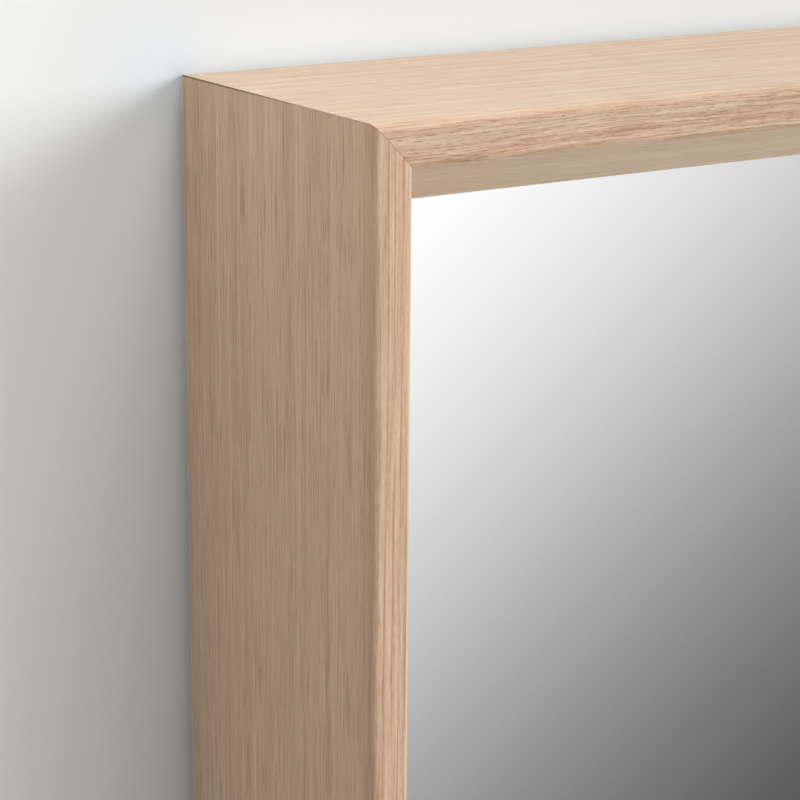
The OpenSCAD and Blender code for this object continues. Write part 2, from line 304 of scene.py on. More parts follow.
def one_sided(name, colour, fade_mm, meets_frame=False):
    """Painted plaster, seen from its front only. Between the two fade_mm it turns into the even tone."""
    material, w, shader = new_finish(name, Roughness=0.75, Specular_IOR_Level=0.2)
    place = w.add("ShaderNodeTexCoord").outputs["Object"]
    mottle = w.noise(w.stretch(place, (0.05, 0.05, 0.05)), 3.0)
    paint = w.mix(w.plus(mottle, 0.5), colour, [0.985 * c for c in colour[:3]] + [1.0])
    away = mm_outside(w, place)
    if meets_frame:
        paint = paint_shade_near_frame(w, place, away, paint)
    connect(w, shader, Base_Color=paint)

    path = w.add("ShaderNodeLightPath").outputs
    looked_at = w.math("MAXIMUM", path["Is Camera Ray"], path["Is Glossy Ray"])
    even = w.add("ShaderNodeEmission", {"Color": colour, "Strength": EVEN_LEVEL}).outputs[0]
    far = w.times(w.ramp(away, *fade_mm), looked_at)
    lit = w.add("ShaderNodeMixShader", {0: far, 1: shader.outputs[0], 2: even}).outputs[0]
    behind = w.add("ShaderNodeNewGeometry").outputs["Backfacing"]
    unseen = w.math("MAXIMUM", behind, w.math("LESS_THAN", path["Ray Length"], TOUCH))
    clear = w.add("ShaderNodeBsdfTransparent").outputs[0]
    shown = w.add("ShaderNodeMixShader", {0: unseen, 1: lit, 2: clear}).outputs[0]
    w.tree.links.new(shown, material.node_tree.nodes["Material Output"].inputs[0])
    return material


wall_paint = one_sided("wall_paint", linear(240, 241, 238), (38, 150), meets_frame=True)
floor_paint = one_sided("floor_paint", linear(238, 237, 233), (400, 1200))
print("nodes in the wall's paint:", len(wall_paint.node_tree.nodes))

# %% [markdown]
# Each sheet is a single face. The wall stands a tenth of a mm behind the frame's back, so that the
# two never share a plane. The floor lies a little under the frame and runs out into the room, and the
# pane may mirror it. Both are declared as stage, because they aren't part of the object.

# %% Wall and floor
HALF_WIDTH, WALL_TOP = 8, 5
WALL_Y = 0.0001
FLOOR_Z = cad_low.z - 0.25
FLOOR_FRONT = -2.6


def studio_sheet(name, corners, material):
    mesh = bpy.data.meshes.new(name)
    mesh.from_pydata(corners, [], [(0, 1, 2, 3)])
    mesh.materials.append(material)
    sheet = bpy.data.objects.new(name, mesh)
    bpy.context.collection.objects.link(sheet)
    sheet.visible_glossy = sheet.visible_transmission = sheet.visible_shadow = False
    sheet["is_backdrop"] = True
    return sheet


skirting = [(-HALF_WIDTH, WALL_Y, FLOOR_Z), (HALF_WIDTH, WALL_Y, FLOOR_Z)]
wall_head = [(HALF_WIDTH, WALL_Y, WALL_TOP), (-HALF_WIDTH, WALL_Y, WALL_TOP)]
floor_front = [(-HALF_WIDTH, FLOOR_FRONT, FLOOR_Z), (HALF_WIDTH, FLOOR_FRONT, FLOOR_Z)]
studio_sheet("wall", skirting + wall_head, wall_paint)
floor = studio_sheet("floor", floor_front + skirting[::-1], floor_paint)
floor.visible_glossy = True
print("floor", round(1000 * (cad_low.z - FLOOR_Z)), "mm under the frame")

# %% [markdown]
# In the photograph the pane shows no room, only a soft fall from white at its upper left to dark grey
# at its lower right. That is what a large lit sheet with a shaded end looks like in a mirror. It could
# be built as a sheet with a painted gradient, but the world does it with no edge that shows from
# elsewhere: for mirrored rays its brightness depends on the direction in the room alone.

# %% What the pane mirrors
SHEET_START, SHEET_END = -0.045, 0.32
SHEET_FALL, SHEET_BEND = 2.7, 22.5

world = bpy.context.scene.world or bpy.data.worlds.new("studio")
bpy.context.scene.world = world
world.use_nodes = True
w = Wiring(world.node_tree)
toward = w.add("ShaderNodeTexCoord").outputs["Generated"]
ray = w.add("ShaderNodeLightPath").outputs

flip = Matrix.Diagonal((1, -1, 1))
sheet_slope = ((flip @ right) - (flip @ up)).normalized()
along_sheet = w.minus(w.dot(toward, sheet_slope), SHEET_START)
shaded = w.math("MINIMUM", w.math("MAXIMUM", along_sheet, 0.0), SHEET_END - SHEET_START)
dimming = w.times(shaded, w.plus(w.times(shaded, SHEET_BEND), SHEET_FALL))
sheet_light = w.math("POWER", math.exp(-1), dimming)
soft_end = w.ramp(along_sheet, -0.7, -0.05, 0.8, 1.0)
behind_wall = w.ramp(w.dot(toward, (0, 1, 0)), -0.02, 0.02)
before_wall = w.minus(1.0, behind_wall)
mirrored = w.plus(w.times(sheet_light, soft_end, before_wall), w.times(behind_wall, 0.85))
print("sheet in the mirror slopes along", [round(c, 2) for c in sheet_slope])

# %% [markdown]
# For soft light the world is a dim even grey in front of the wall. Behind the wall's plane it stands
# for the light that a wall throws on whatever touches it, more from above than from below. A camera
# that looks past wall and floor sees one plain pale tone. One background with a strength that depends
# on the kind of ray does all three; three lit shells would need hiding from one another.

# %% Soft light of the room
ROOM_LEVEL = 0.075
BACKDROP_LEVEL = 0.86

wall_glow = w.ramp(w.dot(toward, (0, 0, 1)), -0.2, 0.6, 0.42, 0.85)
room = w.plus(w.times(behind_wall, wall_glow), w.times(before_wall, ROOM_LEVEL))
mirror_part = w.times(ray["Is Glossy Ray"], mirrored)
soft_part = w.times(w.minus(1.0, ray["Is Glossy Ray"]), room)
seen = w.times(ray["Is Camera Ray"], BACKDROP_LEVEL)
unseen = w.times(w.minus(1.0, ray["Is Camera Ray"]), w.plus(mirror_part, soft_part))
background = world.node_tree.nodes["Background"]
world.node_tree.links.new(w.plus(seen, unseen), background.inputs["Strength"])
background.inputs["Color"].default_value = WHITE
print("room's soft light:", ROOM_LEVEL, "backdrop:", BACKDROP_LEVEL)

# %% [markdown]
# The photograph's light was solved like a sum: the corner was rendered with one lamp at a time, and
# the shares that add up to the photographed brightness of wall, shadow, top, land, splay and side
# were kept. A large key at the right throws the frame's soft shadow over the wall at its left, and a
# small high one firms that shadow's edge. Both stand 6 m off, because a near lamp would light the
# mirror's other side far more than this corner. One lamp overhead lights the top, one from below
# lifts the splay, and a small near one at the left lights the stile's side most at its head. The rear
# lamp lights only what a camera behind the frame sees. A lamp's level is its share of full light on a
# surface that faces it at the corner: where they add up to 1, a colour shows as written.

# %% Lamps
def lamp(name, direction, distance, size, level, spread=180):
    """A round lamp. Distance and size are in metres, spread in degrees."""
    light = bpy.data.lights.new(name, "AREA")
    light.shape = "DISK"
    light.spread = math.radians(spread)
    light.size = size
    light.energy = level * (math.pi * distance) ** 2
    stand = bpy.data.objects.new(name, light)
    aim = Vector(direction).normalized()
    stand.location = CORNER + distance * aim
    stand.rotation_mode = "QUATERNION"
    stand.rotation_quaternion = aim.to_track_quat("Z", "Y")
    stand.visible_camera = False
    stand.visible_glossy = False
    bpy.context.collection.objects.link(stand)
    print(name, "gives", level, "at", [round(c, 2) for c in stand.location])


lamp("key", (0.80, -0.55, 0.22), distance=6.0, size=2.75, level=0.59)
lamp("key_high", (0.55, -0.78, 0.32), distance=6.0, size=1.75, level=0.12)
lamp("overhead", (0.15, -0.30, 0.94), distance=2.2, size=1.2, level=0.45)
lamp("below", (0.25, -0.75, -0.60), distance=1.6, size=0.87, level=0.225)
lamp("left", (-0.60, -0.35, 0.72), distance=0.22, size=0.12, level=0.265, spread=140)
lamp("rear", (0.30, 0.85, -0.32), distance=2.5, size=1.5, level=0.6)

# %% [markdown]
# Pale oiled oak. On the frame's outer sides the growth rings stand nearly square to the face and show
# as fine straight stripes; on the narrow front land they lie flatter in it and show as wandering
# lines. One solid pattern gives both, because it is made from the place inside the length of timber:
# in from the outer side (u), forward from the wall (v) and along the grain (g), all in mm. A picture
# of wood wrapped round the moulding would need seams at each arris, where the real figure runs on.

# %% Places inside a length of oak
def timber_place(w, inward, outer_face, along, shift):
    """The mm in from the outer face, forward from the wall, along the length and along the grain."""
    place = w.add("ShaderNodeTexCoord").outputs["Object"]
    u = w.minus(w.in_mm(place, inward), 1000 * outer_face)
    v = w.in_mm(place, (0, -1, 0))
    length = w.in_mm(place, along)
    return u, v, length, w.plus(length, shift)


def growth_rings(w, timber, land, tilt, drift, ripple):
    """Counts mm across the growth rings, which wander along the timber, most of all near the land."""
    u, v, g = timber
    p = w.join(u, v, g)
    wander = w.times(w.noise(w.stretch(p, (25, 30, 320)), 1.0), 1.6)
    slow = w.times(w.noise(w.stretch(p, (9, 9, drift[1])), 1.0), drift[0], land)
    quick = w.times(w.noise(w.stretch(p, (3.5, 5, ripple[1])), 2.0), ripple[0], land)
    return w.plus(v, w.times(u, tilt), wander, slow, quick)


print("the lengths of oak are", round(1000 * (cad_high.y - cad_low.y)), "mm deep")

# %% [markdown]
# The figure has several layers. Bands follow the rings, from 2.5 mm down to a fifth of a mm. Threads
# and fibres are fine stripes between them, and flecks are shorter still. All are one kind of noise,
# stretched to other sizes. The tone steps change blue and green more than red, as in the photograph:
# oak darkens towards brown, not towards grey.

# %% Bands and threads of the oak
DARKER, LIGHTER = (0.76, 0.68, 0.60, 1.0), (1.24, 1.32, 1.41, 1.0)


def grain(w, place, sizes, seed, detail=1.0, roughness=0.5):
    """Noise with features of the given sizes in mm: in from the side, across the rings, along the grain."""
    u, across, g = [w.times(axis, 1 / size) for axis, size in zip(place, sizes)]
    return w.noise(w.join(w.plus(u, seed), across, w.plus(g, 1.7 * seed)), detail, roughness)


def oak_tone(w, timber, rings, land, calm, lively):
    """How light the wood is, around 0.5, and the bands and fibres that the bump needs as well."""
    bands = grain(w, rings, (9, 2.4, 320), 0, 4.0, 0.66)
    threads = grain(w, rings, (1.6, 0.50, 34), 11, 2.0, 0.6)
    fibres = grain(w, timber, (0.40, 0.36, 11), 23)
    flecks = grain(w, timber, (0.30, 0.30, 1.6), 31)
    on_sides = (1.25, 0.9, 0.9, 0.4)
    more_on_land = (0.5 * lively - 0.3, 0.4 * lively - 0.2, 0.1, 0.3)
    layers = [w.times(layer, w.plus(side, w.times(land, more)))
              for layer, side, more in zip((bands, threads, fibres, flecks), on_sides, more_on_land)]
    return w.plus(0.5, w.times(w.plus(*layers), calm)), bands, fibres


print("the oak's tone runs from", DARKER[:3], "to", LIGHTER[:3], "of its colour")

# %% [markdown]
# Thin brown lines are rows of cut-open pores. On the land they come at even steps of the rings: long
# on the stiles, broken into dashes on the rails. On the sides they are faint and scattered, so there a
# line is drawn where a slow noise passes through zero, which keeps it thin however long it gets.
# Drawing every pore as a mesh would be far too fine for a frame of this size.

# %% Pore lines of the oak
LINE_CORE, LINE_EDGE = 0.04, 0.16


def land_lines(w, rings, apart, dash, seed, rare):
    """Thin lines at even steps of the rings, in pieces of about dash mm. A higher rare leaves fewer."""
    wobble = w.times(grain(w, rings, (2.5, 2, 4 * dash + 6), seed), 0.9)
    step = w.math("FRACT", w.times(w.plus(rings[1], wobble), 1 / apart))
    off_line = w.math("ABSOLUTE", w.minus(step, 0.5))
    broken = w.ramp(grain(w, rings, (1.3, 0.4, dash), seed + 3), rare, rare + 0.16)
    return w.times(w.ramp(off_line, LINE_CORE, LINE_EDGE, 1.0, 0.0), broken)


def side_lines(w, rings):
    course = w.math("ABSOLUTE", grain(w, rings, (2, 1.1, 40), 61))
    broken = w.ramp(grain(w, rings, (1.5, 0.6, 12), 64), -0.02, 0.13)
    return w.times(w.ramp(course, 0.01, 0.04, 1.0, 0.0), broken)


def pore_lines(w, rings, land, calm, apart, dash, lively):
    long_lines = w.times(land_lines(w, rings, apart, 3 * dash, 17, -0.10), 0.5)
    dashes = w.times(land_lines(w, rings, 0.7 * apart, dash, 41, 0.0), 0.3 + 0.65 * lively)
    on_land = w.times(w.math("MAXIMUM", long_lines, dashes), land)
    on_sides = w.times(side_lines(w, rings), w.minus(calm, land), 0.45)
    return w.math("MAXIMUM", on_land, on_sides)


print("a pore line on the land fills", LINE_CORE + LINE_EDGE, "of the step from one line to the next")

# %% [markdown]
# Tone, lines and single pores are laid over one another as on the real wood: first cream patches on
# the land, then the tone, then the lines, and last the pores, which are the darkest. The same layers
# give the height for the bump, so that light catches the wood where its colour changes.

# %% Figure of the oak
DASH_BROWN, PORE_BROWN = linear(150, 104, 70), linear(140, 94, 64)
# CREAM is the colour of the land's pale patches, and also of the painted highlight on the stiles' inner
# edges.
CREAM = linear(224, 198, 168)
PORE_SIZE = (0.26, 0.20, 6.0)


def oak_figure(w, timber, rings, land, calm, base, apart, dash, lively):
    """The colour of the figure, its height for the bump, and its single pores."""
    tone, bands, fibres = oak_tone(w, timber, rings, land, calm, lively)
    patches = w.ramp(grain(w, rings, (4, 1.2, 5 * dash + 8), 47), 0.02, 0.2)
    base = w.mix(w.times(patches, land, 0.2 + 0.25 * lively), base, CREAM)
    colour = w.mix(tone, w.tinted(base, DARKER), w.tinted(base, LIGHTER))
    lines = pore_lines(w, rings, land, calm, apart, dash, lively)
    pores = w.ramp(grain(w, timber, PORE_SIZE, 83, 0.0), 0.17, 0.30)
    colour = w.mix(w.times(pores, 0.3), w.mix(lines, colour, DASH_BROWN), PORE_BROWN)
    height = w.plus(w.times(bands, 0.3), w.times(fibres, 0.4), w.times(pores, -0.7), w.times(lines, -0.4))
    return colour, height, pores


print("pores come from noise of", PORE_SIZE, "mm")

# %% [markdown]
# A mitre is seldom quite closed. The photograph shows a dark hairline between the two lengths, widest
# at the back and nearly gone at the front. The solids touch there, and a real gap of a tenth of a mm
# would make the joint loose, so the line is painted along the plane of the joint.

# %% Mitre seam
SEAM_BROWN = linear(104, 76, 54)
SEAM_BACK, SEAM_FRONT = 0.27, 0.08


def mitre_seam(w, u, v, length, ends):
    """1 along the joint with the next length: open by a hair at the back, tight at the front."""
    to_start = w.minus(length, 1000 * ends[0])
    to_end = w.minus(1000 * ends[1], length)
    from_mitre = w.times(w.minus(w.math("MINIMUM", to_start, to_end), u), math.sqrt(0.5))
    seam_width = w.ramp(v, 8, 40, SEAM_BACK, SEAM_FRONT)
    line = w.minus(1.0, w.ramp(from_mitre, w.times(seam_width, 0.4), seam_width))
    return w.times(line, w.ramp(v, 25, 45, 0.85, 0.55))


print("seam on each side of the joint:", SEAM_BACK, "mm at the back,", SEAM_FRONT, "mm at the front")

# %% [markdown]
# One call makes the finish of one length. It finds where on the section a place lies: the land at the front,
# the splay towards the pane, or an edge of the land. The splay is calmer and greyer than the rest. The outer
# edge may have a band of brown late wood. Along the inner edge, a painted highlight or a painted line of
# shade stands in for the light and shade on its rounding.
# Numbers along u and v are mm on the section, as it was drawn for the solids.

# %% Finish of one length of oak
# ARRIS_BROWN is the brown of the late wood at the outer edge, and also of the painted line of shade on the
# rails' inner edges.
OAK_SPLAY, ARRIS_BROWN = linear(204, 181, 154), linear(172, 132, 93)
PINKER, GREENER = (1.02, 0.985, 0.99, 1.0), (0.98, 1.015, 1.01, 1.0)
LAND_FROM = (56.0, 59.6)


def oak_finish(name, inward, outer_face, along, ends, shift, tilt, drift, ripple, pore_rows,
               sides, front, arris_band=0.0, lip=0.0, painted_edge_tone=CREAM):
    material, w, shader = new_finish(name, Specular_IOR_Level=0.35)
    u, v, length, g = timber_place(w, inward, outer_face, along, shift)
    land = w.times(w.ramp(v, *LAND_FROM), w.ramp(u, -0.2, 1.2))
    timber = (u, v, g)
    rings = (u, growth_rings(w, timber, land, tilt, drift, ripple), g)

    splay = w.times(w.ramp(u, 7.1, 8.1), w.ramp(v, 20.0, 30.0))
    base = w.mix(splay, w.mix(land, sides, front), OAK_SPLAY)
    calm = w.minus(1.0, w.times(splay, 0.45))
    hue = w.ramp(w.times(grain(w, rings, (14, 2.2, 400), 97, 2.0), w.times(calm, calm)), -0.14, 0.14)
    base = w.mix(hue, w.tinted(base, PINKER), w.tinted(base, GREENER))
    colour, height, pores = oak_figure(w, timber, rings, land, calm, base, *pore_rows)

    late_wood = w.times(w.ramp(v, 56.6, 58.2), w.ramp(u, 0.3, 0.9, 1.0, 0.0))
    colour = w.mix(w.times(late_wood, arris_band), colour, ARRIS_BROWN)
    # Painted highlight or painted shade on the inner rounding of the land, as strong as lip says.
    painted_edge_mask = w.times(w.ramp(u, 6.15, 6.55), w.ramp(v, 58.4, 59.2), lip)
    colour = w.mix(painted_edge_mask, colour, painted_edge_tone)
    colour = w.mix(mitre_seam(w, u, v, length, ends), colour, SEAM_BROWN)
    sheen = w.plus(0.5, w.times(height, 0.2), w.times(pores, 0.25))
    connect(w, shader, Base_Color=colour, Roughness=sheen, Normal=w.bump(height, 0.02))
    return material


print("side turns into land between", LAND_FROM, "mm from the wall")

# %% [markdown]
# The four lengths are cut from different boards, so each gets its own stretch of grain (shift) and its own
# slope of the rings (tilt). Drift and ripple say how far the rings wander on the land, in mm, and over what
# length. The pore rows are given as the mm between them, the length of a dash and how lively they are. The
# left stile has a dark band of late wood along its outer edge, which the photograph shows as a brown stripe.
# The stiles get a painted highlight along their inner edges, where the rounding catches the light. The rails
# have the lively dashes on their lands and a painted line of shade along their inner edges, the stiles
# straighter lines.

# %% Four lengths of oak
half = cad_high.x
stile = {"along": (0, 0, 1), "ends": (cad_low.z, cad_high.z), "outer_face": -half,
         "sides": linear(200, 167, 136), "front": linear(206, 174, 147)}
rail = {"along": (1, 0, 0), "ends": (-half, half), "lip": 0.25, "painted_edge_tone": ARRIS_BROWN,
        "sides": linear(205, 179, 152), "front": linear(206, 175, 150)}

dress(oak_finish("oak_left", inward=(1, 0, 0), shift=0, tilt=0.7, drift=(0.9, 220), ripple=(0.12, 50),
                 pore_rows=(0.85, 12, 0.0), arris_band=0.35, lip=0.5, **stile), "left_stile")
dress(oak_finish("oak_right", inward=(-1, 0, 0), shift=4100, tilt=0.8, drift=(1.1, 200), ripple=(0.15, 50),
                 pore_rows=(0.90, 12, 0.1), arris_band=0.2, lip=0.4, **stile), "right_stile")
dress(oak_finish("oak_top", inward=(0, 0, -1), outer_face=-cad_high.z, shift=7300, tilt=0.9,
                 drift=(3.4, 80), ripple=(1.0, 20), pore_rows=(0.58, 2.2, 1.0), **rail), "top_rail")
dress(oak_finish("oak_bottom", inward=(0, 0, 1), outer_face=cad_low.z, shift=9700, tilt=0.8,
                 drift=(3.2, 85), ripple=(1.0, 22), pore_rows=(0.60, 2.4, 1.0), **rail), "bottom_rail")

# %% [markdown]
# The pane is float glass, silvered and painted grey on its back. A real pane could be made as clear
# glass over a metal sheet, but the silver is all that one sees of it, so the front face is polished
# metal; the cut edges show the glass's green, and the back its paint. Faint smears change the polish a
# little, too little to see as marks.

# %% Mirror pane
silvered, w, shader = new_finish("silvered_glass", Specular_IOR_Level=0.5)
place = w.add("ShaderNodeTexCoord").outputs
facing = w.dot(place["Normal"], (0, 1, 0))
front_face = w.math("LESS_THAN", facing, -0.5)
back_face = w.math("GREATER_THAN", facing, 0.5)
smear = w.noise(w.stretch(place["Object"], (0.08, 0.08, 0.14)), 4.0)
silver = w.mix(w.plus(smear, 0.5), (0.985, 0.99, 0.985, 1.0), WHITE)
cut_edge = w.mix(w.plus(smear, 0.5), linear(88, 130, 116), linear(120, 158, 142))
speckle = w.noise(w.stretch(place["Object"], (0.002, 0.002, 0.002)), 3.0)
back_paint = w.mix(w.plus(speckle, 0.5), linear(112, 116, 122), linear(126, 130, 134))
colour = w.mix(front_face, w.mix(back_face, cut_edge, back_paint), silver)
polish = w.plus(w.times(w.minus(1.0, front_face), 0.35), w.times(w.plus(smear, 0.4), 0.004))
connect(w, shader, Base_Color=colour, Metallic=front_face, Roughness=polish)
dress(silvered, "mirror_glass")

# %% [markdown]
# Inside the joints sit four loose tongues of raw beech. Beech has no open pores; its mark is a dense
# rain of short brown flecks, the ends of its rays. The same grain noise as for the oak makes them, cut
# off high.

# %% Beech tongues
beech, w, shader = new_finish("raw_beech", Specular_IOR_Level=0.3)
place = w.add("ShaderNodeTexCoord").outputs["Object"]
timber = [w.in_mm(place, axis) for axis in ((0.7, 0, 0.7), (0, 1, 0), (0.7, 0, -0.7))]
stripes = grain(w, timber, (3, 1.8, 60), 5, 3.0)
flecks = w.ramp(grain(w, timber, (0.5, 0.35, 2.6), 9), 0.10, 0.2)
wood = w.mix(w.plus(0.5, w.times(stripes, 1.6)), linear(192, 150, 110), linear(216, 182, 144))
wood = w.mix(w.times(flecks, 0.6), wood, linear(148, 100, 66))
height = w.plus(stripes, w.times(flecks, -0.4))
sheen = w.plus(0.55, w.times(stripes, 0.2))
connect(w, shader, Base_Color=wood, Roughness=sheen, Normal=w.bump(height, 0.05))
dress(beech, *[name for name in nodes if name.startswith("tongue_")])

# %% [markdown]
# Battens and cross rails are planed pine, sawn from the outside of a thin trunk: the rings are circles
# round a pith line that lies outside the piece. A knot is a branch that grew outwards; it pushes the
# rings aside, so it is added to the radius before the rings are cut, and then painted with a rim of
# its own. Blender's wave texture has rings too, but it doesn't give the radius that a knot is added to.

# %% Rings and knots of the pine
KNOT_REACH = 3.4


def round_knot(w, timber, at, off, size):
    """How far a place is from the heart of a knot, in mm, along a slightly ragged and longish circle."""
    a, _, g = timber
    dg, da = w.times(w.minus(g, at), 0.75), w.minus(a, off)
    ragged = w.times(grain(w, timber, (7, 7, 9), at, 2.0), 2.0)
    return w.plus(w.math("SQRT", w.plus(w.times(dg, dg), w.times(da, da))), ragged)


def pine_rings(w, timber, pith, knots):
    """The radius from the pith, bent round the knots, and where the wood is a knot's."""
    a, v, _ = timber
    aside, deep = w.minus(a, pith[0]), w.minus(v, pith[1])
    radius = w.math("SQRT", w.plus(w.times(aside, aside), w.times(deep, deep)))
    radius = w.plus(radius, w.times(grain(w, timber, (70, 70, 210), 3, 1.0), 9.0))
    knot_wood = 0.0
    for at, off, size in knots:
        out = round_knot(w, timber, at, off, size)
        bend = w.ramp(out, 0.5 * size, KNOT_REACH * size, 1.0, 0.0)
        radius = w.plus(radius, w.times(bend, 0.9 * size))
        knot_wood = w.math("MAXIMUM", knot_wood, w.ramp(out, 0.85 * size, 1.1 * size, 1.0, 0.0))
        rim = w.ramp(w.math("ABSOLUTE", w.minus(out, size)), 0.2, 1.0, 0.5, 0.0)
        knot_wood = w.plus(knot_wood, rim)
    return radius, knot_wood


print("a knot bends the rings out to", KNOT_REACH, "times its own radius")

# %% [markdown]
# Each ring of pine goes from cream to orange-brown and stops with a sharp edge: that is one year of
# growth. Over it lie fine fibres and short resin streaks. The knots come last, because they are the
# darkest wood and hide most of the rest.

# %% Finish of a piece of pine
PINE_CREAM, PINE_LATE, KNOT_BROWN = linear(228, 203, 158), linear(200, 150, 96), linear(134, 84, 48)
PINE_DULL, RESIN_BROWN = (0.90, 0.88, 0.85, 1.0), linear(164, 112, 66)
RING_MM = 2.9


def pine_finish(name, along, across, pith, knots=()):
    """The pith is in mm across the piece and from the wall, a knot in mm along, mm across and its size."""
    material, w, shader = new_finish(name, Specular_IOR_Level=0.3)
    place = w.add("ShaderNodeTexCoord").outputs["Object"]
    timber = (w.in_mm(place, across), w.in_mm(place, (0, -1, 0)), w.in_mm(place, along))
    radius, knot_wood = pine_rings(w, timber, pith, knots)
    year = w.math("FRACT", w.times(radius, 1 / RING_MM))
    late = w.times(w.ramp(year, 0.30, 0.93), w.ramp(year, 0.93, 0.99, 1.0, 0.0))
    fibres = grain(w, timber, (0.5, 0.5, 16), 7, 2.0)
    clouds = grain(w, timber, (30, 30, 160), 13, 1.0)
    resin = w.ramp(grain(w, timber, (0.35, 0.35, 7), 19, 0.0), 0.22, 0.3)
    wood = w.mix(w.times(late, w.plus(0.75, clouds)), PINE_CREAM, PINE_LATE)
    wood = w.mix(w.plus(0.5, w.times(fibres, 1.2)), w.tinted(wood, PINE_DULL), wood)
    wood = w.mix(w.times(resin, 0.45), wood, RESIN_BROWN)
    wood = w.mix(w.math("MINIMUM", w.times(knot_wood, 0.8), 0.9), wood, KNOT_BROWN)
    height = w.plus(w.times(late, 0.4), w.times(fibres, 0.5), w.times(resin, -0.5))
    sheen = w.plus(0.6, w.times(late, -0.12))
    connect(w, shader, Base_Color=wood, Roughness=sheen, Normal=w.bump(height, 0.06))
    return material


print("one year of pine is", RING_MM, "mm wide")

# %% [markdown]
# No two pieces come from the same place in the trunk, so each gets its own pith line and its own
# knots. Upright battens have their grain along Z, all other pieces along X. A pith line is placed from
# the middle of its piece, as measured on the solids, and a knot's place along the piece is given in
# the frame's own mm.

# %% Battens and cross rails
UPRIGHT, LEVEL = (0, 0, 1), (1, 0, 0)
rail_knots = {"hanging_rail": ((-64, 12, 6.5), (141, -17, 4.0)),
              "lower_rail": ((92, -1371, 7.5), (-176, -1398, 3.5))}
battens = sorted(name for name in nodes if name.startswith("batten_") and name != "batten_screws")

for number, name in enumerate(battens):
    low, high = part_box(name)
    middle = 500 * (low + high)
    if high.z - low.z > high.x - low.x:
        knots = ((-420 - 310 * number, middle.x + 3, 3.6),)
        pine = pine_finish("pine_" + name, UPRIGHT, LEVEL, (middle.x + 30 - 40 * number, 48), knots)
    else:
        knots = ((70 - 160 * number, middle.z - 2, 3.2),)
        pine = pine_finish("pine_" + name, LEVEL, UPRIGHT, (middle.z - 28, -20 - 9 * number), knots)
    dress(pine, name)

for name, knots in rail_knots.items():
    low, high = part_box(name)
    dress(pine_finish("pine_" + name, LEVEL, UPRIGHT, (500 * (low.z + high.z) + 9, 52), knots), name)
print("knots in the cross rails:", sum(len(k) for k in rail_knots.values()))

# %% [markdown]
# The backing panel is raw fibre board. Its face is pressed wood fibre: short threads that lie every
# way, under a faint cloudiness where the board was wetter or drier in the press. Threads in every
# direction come from stripes whose place is first pushed about by a slower noise. The sawn edges are
# paler than the face.

# %% Backing panel
board, w, shader = new_finish("raw_fibre_board", Specular_IOR_Level=0.3)
coords = w.add("ShaderNodeTexCoord").outputs
x, y, z = [w.in_mm(coords["Object"], axis) for axis in ((1, 0, 0), (0, 1, 0), (0, 0, 1))]
push = w.times(grain(w, (x, y, z), (5, 5, 5), 0, 1.0), 26)
threads_up = grain(w, (w.plus(x, push), y, w.plus(z, push)), (0.45, 0.45, 3.2), 3, 2.0)
threads_over = grain(w, (w.plus(x, w.times(push, -1)), y, w.plus(z, push)), (3.0, 0.45, 0.5), 5, 2.0)
cloud = grain(w, (x, y, z), (90, 90, 140), 7, 3.0)
dark_chip = w.ramp(grain(w, (w.plus(x, push), y, z), (0.8, 0.8, 1.6), 9, 1.0), 0.17, 0.25)
press = w.plus(0.5, w.times(threads_up, 0.9), w.times(threads_over, 0.9), w.times(cloud, 0.7))
face = w.mix(press, linear(136, 101, 68), linear(172, 136, 98))
face = w.mix(w.times(dark_chip, 0.5), face, linear(104, 74, 48))
sawn = w.math("LESS_THAN", w.math("ABSOLUTE", w.dot(coords["Normal"], (0, 1, 0))), 0.5)
face = w.mix(w.times(sawn, 0.5), face, linear(186, 154, 118))
height = w.plus(threads_up, threads_over, w.times(dark_chip, -0.5))
sheen = w.plus(0.66, w.times(cloud, 0.3))
connect(w, shader, Base_Color=face, Roughness=sheen, Normal=w.bump(height, 0.05))
dress(board, "back_panel")

# %% [markdown]
# The safety film on the pane's back is grey vinyl. It has a fine linen emboss, which lets air out when
# it is rolled on. Two sine waves across each other give the linen, the way warp and weft do.

# %% Safety film
LINEN_MM = 0.9


def mm_place(w):
    place = w.add("ShaderNodeTexCoord").outputs["Object"]
    return w.add("ShaderNodeVectorMath", {0: place, 1: (1000, 1000, 1000)}, operation="MULTIPLY").outputs[0]


film, w, shader = new_finish("grey_safety_film", Specular_IOR_Level=0.5)
p = mm_place(w)
warp, weft = [w.math("SINE", w.times(w.dot(p, axis), 2 * math.pi / LINEN_MM)) for axis in (LEVEL, UPRIGHT)]
linen = w.times(warp, weft)
tone = w.plus(0.5, w.times(linen, 0.15), w.noise(w.stretch(p, (60, 60, 60)), 3.0))
vinyl = w.mix(tone, linear(132, 137, 142), linear(150, 154, 158))
sheen = w.plus(0.42, w.times(linen, 0.05))
connect(w, shader, Base_Color=vinyl, Roughness=sheen, Normal=w.bump(linen, 0.03))
dress(film, "safety_film")

# %% [markdown]
# The foam tape between film and board is white, with closed cells that show on its cut sides. A cell pattern
# cuts them: the hollows of the cells are painted a little darker, as painted shade, and their walls stay
# light. The setting blocks under the pane are black rubber with a grey bloom, as rubber has in store. Plain
# noise makes both the bloom and the fine pits.

# %% Foam tape and setting blocks
foam, w, shader = new_finish("white_foam_tape", Specular_IOR_Level=0.2)
p = mm_place(w)
cells = w.add("ShaderNodeTexVoronoi", {"Vector": p, "Scale": 3.2}, feature="DISTANCE_TO_EDGE")
open_cell = w.ramp(cells.outputs["Distance"], 0.02, 0.14)
aged = w.plus(0.5, w.noise(w.stretch(p, (20, 20, 40)), 2.0))
foam_skin = w.mix(aged, linear(243, 240, 232), linear(232, 227, 213))
# The open cells are painted a little darker: painted shade inside the hollows.
foam_tone = w.mix(w.times(open_cell, 0.35), foam_skin, linear(206, 202, 192))
hollow = w.bump(w.times(open_cell, -1), 0.06)
connect(w, shader, Base_Color=foam_tone, Roughness=w.plus(0.8, w.times(open_cell, 0.1)), Normal=hollow)
dress(foam, "foam_tape")

